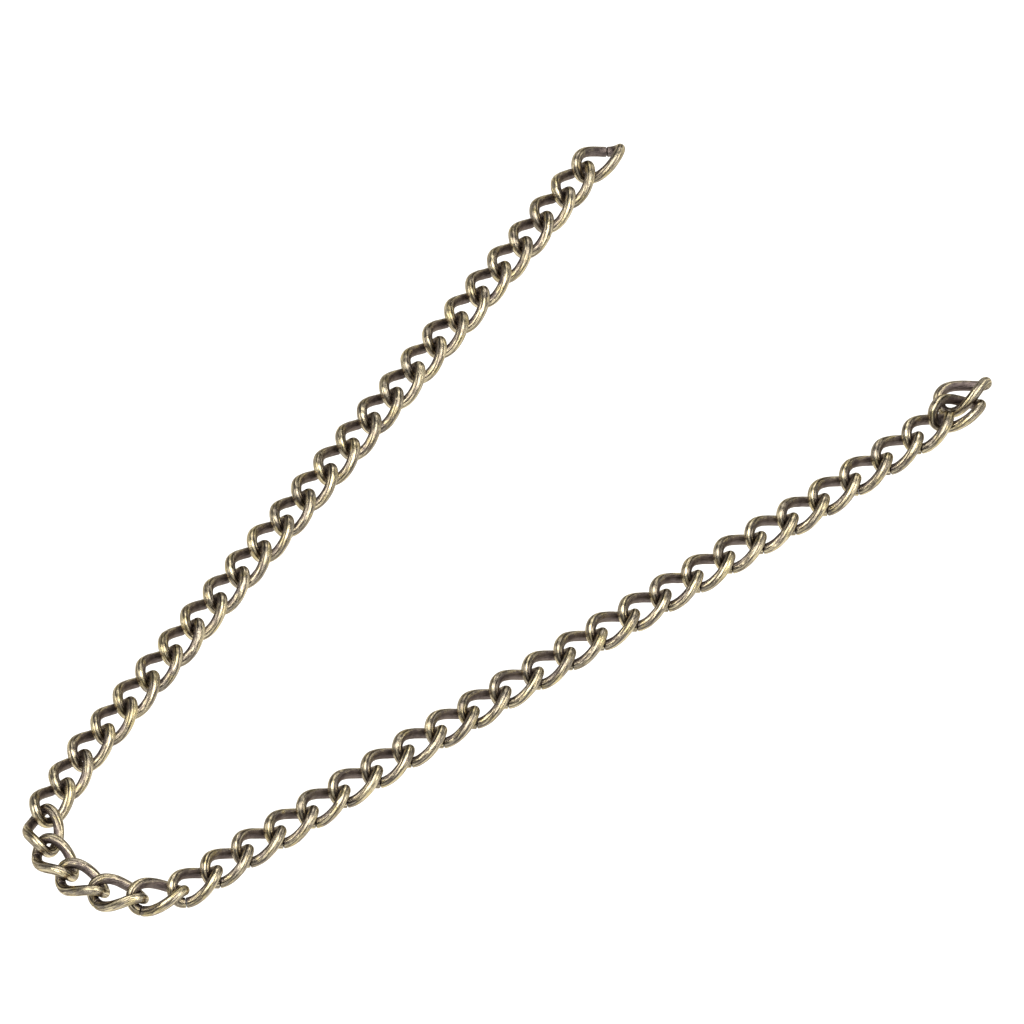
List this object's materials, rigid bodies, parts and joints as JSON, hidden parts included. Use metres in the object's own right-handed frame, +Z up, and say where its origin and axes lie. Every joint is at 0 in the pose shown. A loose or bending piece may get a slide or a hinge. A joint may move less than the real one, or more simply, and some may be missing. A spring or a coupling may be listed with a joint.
{
  "type": "pocket watch chain",
  "caption": "Curb chain of twisted oval wire links, lying flat in a narrow V, with a free link at one end and the last link folded over at the other.",
  "frame": {"origin": "middle of the chain's footprint, on the surface that it lies on", "axes": "+Z up, +X along the V from the tight bend towards the two free ends"},
  "size_m": [0.1638, 0.0806, 0.0067],
  "materials": {
    "antique_brass": "antiqued and worn: dark patina in the recesses, yellow brass where it rubs"
  },
  "bodies": {
    "link_00": {"link_00": "antique_brass"},
    "link_01": {"link_01": "antique_brass"},
    "link_02": {"link_02": "antique_brass"},
    "link_03": {"link_03": "antique_brass"},
    "link_04": {"link_04": "antique_brass"},
    "link_05": {"link_05": "antique_brass"},
    "link_06": {"link_06": "antique_brass"},
    "link_07": {"link_07": "antique_brass"},
    "link_08": {"link_08": "antique_brass"},
    "link_09": {"link_09": "antique_brass"},
    "link_10": {"link_10": "antique_brass"},
    "link_11": {"link_11": "antique_brass"},
    "link_12": {"link_12": "antique_brass"},
    "link_13": {"link_13": "antique_brass"},
    "link_14": {"link_14": "antique_brass"},
    "link_15": {"link_15": "antique_brass"},
    "link_16": {"link_16": "antique_brass"},
    "link_17": {"link_17": "antique_brass"},
    "link_18": {"link_18": "antique_brass"},
    "link_19": {"link_19": "antique_brass"},
    "link_20": {"link_20": "antique_brass"},
    "link_21": {"link_21": "antique_brass"},
    "link_22": {"link_22": "antique_brass"},
    "link_23": {"link_23": "antique_brass"},
    "link_24": {"link_24": "antique_brass"},
    "link_25": {"link_25": "antique_brass"},
    "link_26": {"link_26": "antique_brass"},
    "link_27": {"link_27": "antique_brass"},
    "link_28": {"link_28": "antique_brass"},
    "link_29": {"link_29": "antique_brass"},
    "link_30": {"link_30": "antique_brass"},
    "link_31": {"link_31": "antique_brass"},
    "link_32": {"link_32": "antique_brass"},
    "link_33": {"link_33": "antique_brass"},
    "link_34": {"link_34": "antique_brass"},
    "link_35": {"link_35": "antique_brass"},
    "link_36": {"link_36": "antique_brass"},
    "link_37": {"link_37": "antique_brass"},
    "link_38": {"link_38": "antique_brass"},
    "link_39": {"link_39": "antique_brass"},
    "link_40": {"link_40": "antique_brass"},
    "link_41": {"link_41": "antique_brass"},
    "link_42": {"link_42": "antique_brass"},
    "link_43": {"link_43": "antique_brass"},
    "link_44": {"link_44": "antique_brass"},
    "link_45": {"link_45": "antique_brass"},
    "link_46": {"link_46": "antique_brass"},
    "link_47": {"link_47": "antique_brass"},
    "link_48": {"link_48": "antique_brass"},
    "link_49": {"link_49": "antique_brass"},
    "link_50": {"link_50": "antique_brass"},
    "link_51": {"link_51": "antique_brass"},
    "link_52": {"link_52": "antique_brass"},
    "link_53": {"link_53": "antique_brass"},
    "link_54": {"link_54": "antique_brass"},
    "link_55": {"link_55": "antique_brass"},
    "link_56": {"link_56": "antique_brass"}
  },
  "joints": [
    {"name": "link_30_on_link_29", "type": "hinge", "parent": "link_29", "child": "link_30", "pos_m": [-0.07696, -0.00948, 0.0028], "axis": [-0.3524, -0.505, -0.7879], "range_deg": [-7.5, 45]},
    {"name": "link_27_on_link_28", "type": "hinge", "parent": "link_28", "child": "link_27", "pos_m": [-0.07908, 0.00224, 0.00192], "axis": [0.6097, 0.1184, 0.7837], "range_deg": [-17.5, 40]},
    {"name": "link_31_on_link_30", "type": "hinge", "parent": "link_30", "child": "link_31", "pos_m": [-0.07075, -0.01403, 0.00293], "axis": [0.3746, 0.4888, -0.7879], "range_deg": [-10, 45]},
    {"name": "link_26_on_link_27", "type": "hinge", "parent": "link_27", "child": "link_26", "pos_m": [-0.07799, 0.00657, 0.00227], "axis": [0.4061, -0.4646, -0.7869], "range_deg": [-45, 7.5]},
    {"name": "link_29_on_link_28", "type": "hinge", "parent": "link_28", "child": "link_29", "pos_m": [-0.07863, -0.0054, 0.00272], "axis": [-0.6194, 0.046, 0.7837], "range_deg": [-45, 20]},
    {"name": "link_25_on_link_26", "type": "hinge", "parent": "link_26", "child": "link_25", "pos_m": [-0.07255, 0.01201, 0.00186], "axis": [-0.4644, 0.4062, -0.7869], "range_deg": [-42.5, 5]},
    {"name": "link_32_on_link_31", "type": "hinge", "parent": "link_31", "child": "link_32", "pos_m": [-0.06638, -0.01448, 0.0026], "axis": [0.0844, 0.6105, 0.7875], "range_deg": [-45, 37.5]},
    {"name": "link_24_on_link_25", "type": "hinge", "parent": "link_25", "child": "link_24", "pos_m": [-0.06814, 0.01256, 0.002], "axis": [-0.1827, 0.5881, 0.7879], "range_deg": [-45, 37.5]},
    {"name": "link_56_on_link_55", "type": "hinge", "parent": "link_55", "child": "link_56", "pos_m": [0.07613, -0.03892, 0.00401], "axis": [0.6056, 0.5558, -0.5695], "range_deg": [-60, 0]},
    {"name": "link_55_on_link_54", "type": "hinge", "parent": "link_54", "child": "link_55", "pos_m": [0.07151, -0.0364, 0.00352], "axis": [0.1181, 0.6052, -0.7873], "range_deg": [-27.5, 10]},
    {"name": "link_54_on_link_53", "type": "hinge", "parent": "link_53", "child": "link_54", "pos_m": [0.06388, -0.03535, 0.00319], "axis": [-0.05, -0.6146, -0.7873], "range_deg": [-45, 45]},
    {"name": "link_53_on_link_52", "type": "hinge", "parent": "link_52", "child": "link_53", "pos_m": [0.05962, -0.03478, 0.003], "axis": [-0.1654, -0.5956, 0.7861], "range_deg": [-45, 42.5]},
    {"name": "link_52_on_link_51", "type": "hinge", "parent": "link_51", "child": "link_52", "pos_m": [0.05207, -0.03339, 0.00246], "axis": [-0.0573, -0.6155, -0.7861], "range_deg": [-45, 45]},
    {"name": "link_00_on_link_01", "type": "hinge", "parent": "link_01", "child": "link_00", "pos_m": [0.07354, 0.03793, 0.00222], "axis": [0.1227, 0.6033, 0.788], "range_deg": [-10, 45]},
    {"name": "link_01_on_link_02", "type": "hinge", "parent": "link_02", "child": "link_01", "pos_m": [0.06939, 0.0365, 0.002], "axis": [-0.0889, 0.6092, -0.788], "range_deg": [-37.5, 45]},
    {"name": "link_02_on_link_03", "type": "hinge", "parent": "link_03", "child": "link_02", "pos_m": [0.06177, 0.03539, 0.002], "axis": [0.0889, -0.6092, -0.788], "range_deg": [-45, 42.5]},
    {"name": "link_03_on_link_04", "type": "hinge", "parent": "link_04", "child": "link_03", "pos_m": [0.05755, 0.03456, 0.00199], "axis": [0.0994, -0.6076, 0.788], "range_deg": [-45, 45]},
    {"name": "link_33_on_link_32", "type": "hinge", "parent": "link_32", "child": "link_33", "pos_m": [-0.05872, -0.01519, 0.00233], "axis": [0.0297, 0.6156, -0.7875], "range_deg": [-45, 40]},
    {"name": "link_23_on_link_24", "type": "hinge", "parent": "link_24", "child": "link_23", "pos_m": [-0.06084, 0.01501, 0.00187], "axis": [-0.2088, 0.5793, -0.7879], "range_deg": [-45, 27.5]},
    {"name": "link_34_on_link_33", "type": "hinge", "parent": "link_33", "child": "link_34", "pos_m": [-0.0545, -0.01599, 0.00219], "axis": [-0.0921, -0.6087, -0.788], "range_deg": [-42.5, 45]},
    {"name": "link_22_on_link_23", "type": "hinge", "parent": "link_23", "child": "link_22", "pos_m": [-0.05654, 0.01544, 0.00198], "axis": [0.1089, -0.606, -0.788], "range_deg": [-42.5, 45]},
    {"name": "link_40_on_link_39", "type": "hinge", "parent": "link_39", "child": "link_40", "pos_m": [-0.01893, -0.02156, 0.00218], "axis": [-0.0891, -0.6092, -0.788], "range_deg": [-42.5, 45]},
    {"name": "link_12_on_link_13", "type": "hinge", "parent": "link_13", "child": "link_12", "pos_m": [0.00261, 0.02542, 0.00199], "axis": [-0.0952, 0.6082, 0.788], "range_deg": [-45, 45]},
    {"name": "link_48_on_link_47", "type": "hinge", "parent": "link_47", "child": "link_48", "pos_m": [0.0284, -0.02946, 0.00219], "axis": [-0.0906, -0.609, -0.788], "range_deg": [-45, 45]},
    {"name": "link_06_on_link_07", "type": "hinge", "parent": "link_07", "child": "link_06", "pos_m": [0.03813, 0.03126, 0.00197], "axis": [-0.1139, 0.605, 0.788], "range_deg": [-45, 42.5]},
    {"name": "link_44_on_link_43", "type": "hinge", "parent": "link_43", "child": "link_44", "pos_m": [0.00476, -0.02538, 0.00221], "axis": [0.1135, 0.6051, 0.788], "range_deg": [-42.5, 45]},
    {"name": "link_17_on_link_18", "type": "hinge", "parent": "link_18", "child": "link_17", "pos_m": [-0.02529, 0.0207, 0.002], "axis": [-0.0926, 0.6087, -0.788], "range_deg": [-45, 45]},
    {"name": "link_10_on_link_11", "type": "hinge", "parent": "link_11", "child": "link_10", "pos_m": [0.01444, 0.02747, 0.002], "axis": [0.0901, -0.609, -0.788], "range_deg": [-45, 42.5]},
    {"name": "link_37_on_link_36", "type": "hinge", "parent": "link_36", "child": "link_37", "pos_m": [-0.03502, -0.01896, 0.0022], "axis": [0.1037, 0.6069, -0.788], "range_deg": [-42.5, 45]},
    {"name": "link_04_on_link_05", "type": "hinge", "parent": "link_05", "child": "link_04", "pos_m": [0.04995, 0.03332, 0.00199], "axis": [0.0994, -0.6076, -0.788], "range_deg": [-45, 45]},
    {"name": "link_05_on_link_06", "type": "hinge", "parent": "link_06", "child": "link_05", "pos_m": [0.0457, 0.03269, 0.00197], "axis": [-0.1139, 0.605, -0.788], "range_deg": [-45, 42.5]},
    {"name": "link_07_on_link_08", "type": "hinge", "parent": "link_08", "child": "link_07", "pos_m": [0.03387, 0.03069, 0.00198], "axis": [-0.106, 0.6065, -0.788], "range_deg": [-45, 42.5]},
    {"name": "link_08_on_link_09", "type": "hinge", "parent": "link_09", "child": "link_08", "pos_m": [0.02628, 0.02936, 0.00198], "axis": [0.106, -0.6065, -0.788], "range_deg": [-45, 45]},
    {"name": "link_09_on_link_10", "type": "hinge", "parent": "link_10", "child": "link_09", "pos_m": [0.02205, 0.02859, 0.002], "axis": [0.0901, -0.609, 0.788], "range_deg": [-45, 42.5]},
    {"name": "link_11_on_link_12", "type": "hinge", "parent": "link_12", "child": "link_11", "pos_m": [0.01022, 0.02662, 0.00199], "axis": [-0.0952, 0.6082, -0.788], "range_deg": [-42.5, 45]},
    {"name": "link_13_on_link_14", "type": "hinge", "parent": "link_14", "child": "link_13", "pos_m": [-0.00163, 0.02475, 0.00198], "axis": [-0.112, 0.6054, -0.788], "range_deg": [-45, 45]},
    {"name": "link_14_on_link_15", "type": "hinge", "parent": "link_15", "child": "link_14", "pos_m": [-0.00921, 0.02335, 0.00198], "axis": [0.112, -0.6054, -0.788], "range_deg": [-42.5, 45]},
    {"name": "link_15_on_link_16", "type": "hinge", "parent": "link_16", "child": "link_15", "pos_m": [-0.01347, 0.02278, 0.00198], "axis": [0.1098, -0.6058, 0.788], "range_deg": [-42.5, 45]},
    {"name": "link_16_on_link_17", "type": "hinge", "parent": "link_17", "child": "link_16", "pos_m": [-0.02105, 0.02141, 0.00198], "axis": [0.1098, -0.6058, -0.788], "range_deg": [-45, 45]},
    {"name": "link_18_on_link_19", "type": "hinge", "parent": "link_19", "child": "link_18", "pos_m": [-0.0329, 0.01954, 0.002], "axis": [-0.0926, 0.6087, 0.788], "range_deg": [-42.5, 45]},
    {"name": "link_19_on_link_20", "type": "hinge", "parent": "link_20", "child": "link_19", "pos_m": [-0.03711, 0.01868, 0.002], "axis": [-0.0919, 0.6088, -0.788], "range_deg": [-42.5, 45]},
    {"name": "link_20_on_link_21", "type": "hinge", "parent": "link_21", "child": "link_20", "pos_m": [-0.04473, 0.01753, 0.002], "axis": [0.0919, -0.6088, -0.788], "range_deg": [-45, 45]},
    {"name": "link_21_on_link_22", "type": "hinge", "parent": "link_22", "child": "link_21", "pos_m": [-0.04897, 0.0168, 0.00198], "axis": [0.1089, -0.606, 0.788], "range_deg": [-45, 45]},
    {"name": "link_35_on_link_34", "type": "hinge", "parent": "link_34", "child": "link_35", "pos_m": [-0.04688, -0.01714, 0.00219], "axis": [-0.0921, -0.6087, 0.788], "range_deg": [-45, 45]},
    {"name": "link_36_on_link_35", "type": "hinge", "parent": "link_35", "child": "link_36", "pos_m": [-0.04261, -0.01766, 0.0022], "axis": [-0.1037, -0.6069, -0.788], "range_deg": [-45, 42.5]},
    {"name": "link_38_on_link_37", "type": "hinge", "parent": "link_37", "child": "link_38", "pos_m": [-0.03075, -0.01947, 0.0022], "axis": [0.1027, 0.607, 0.788], "range_deg": [-42.5, 45]},
    {"name": "link_39_on_link_38", "type": "hinge", "parent": "link_38", "child": "link_39", "pos_m": [-0.02316, -0.02075, 0.0022], "axis": [0.1027, 0.607, -0.788], "range_deg": [-45, 45]},
    {"name": "link_41_on_link_40", "type": "hinge", "parent": "link_40", "child": "link_41", "pos_m": [-0.01132, -0.02267, 0.00218], "axis": [-0.0891, -0.6092, 0.788], "range_deg": [-42.5, 45]},
    {"name": "link_42_on_link_41", "type": "hinge", "parent": "link_41", "child": "link_42", "pos_m": [-0.0071, -0.02351, 0.00219], "axis": [-0.0983, -0.6078, -0.788], "range_deg": [-45, 45]},
    {"name": "link_43_on_link_42", "type": "hinge", "parent": "link_42", "child": "link_43", "pos_m": [0.0005, -0.02473, 0.00219], "axis": [0.0983, 0.6078, -0.788], "range_deg": [-45, 45]},
    {"name": "link_45_on_link_44", "type": "hinge", "parent": "link_44", "child": "link_45", "pos_m": [0.01232, -0.0268, 0.00221], "axis": [0.1135, 0.6051, -0.788], "range_deg": [-42.5, 45]},
    {"name": "link_46_on_link_45", "type": "hinge", "parent": "link_45", "child": "link_46", "pos_m": [0.01659, -0.02737, 0.0022], "axis": [-0.107, -0.6063, -0.788], "range_deg": [-45, 42.5]},
    {"name": "link_47_on_link_46", "type": "hinge", "parent": "link_46", "child": "link_47", "pos_m": [0.02417, -0.0287, 0.0022], "axis": [-0.107, -0.6063, 0.788], "range_deg": [-45, 45]},
    {"name": "link_49_on_link_48", "type": "hinge", "parent": "link_48", "child": "link_49", "pos_m": [0.03602, -0.03059, 0.00219], "axis": [0.0906, 0.609, -0.788], "range_deg": [-45, 42.5]},
    {"name": "link_50_on_link_49", "type": "hinge", "parent": "link_49", "child": "link_50", "pos_m": [0.04024, -0.03145, 0.00219], "axis": [0.0943, 0.6084, 0.788], "range_deg": [-45, 42.5]},
    {"name": "link_51_on_link_50", "type": "hinge", "parent": "link_50", "child": "link_51", "pos_m": [0.04784, -0.03263, 0.00219], "axis": [0.0943, 0.6084, -0.788], "range_deg": [-45, 42.5]}
  ]
}
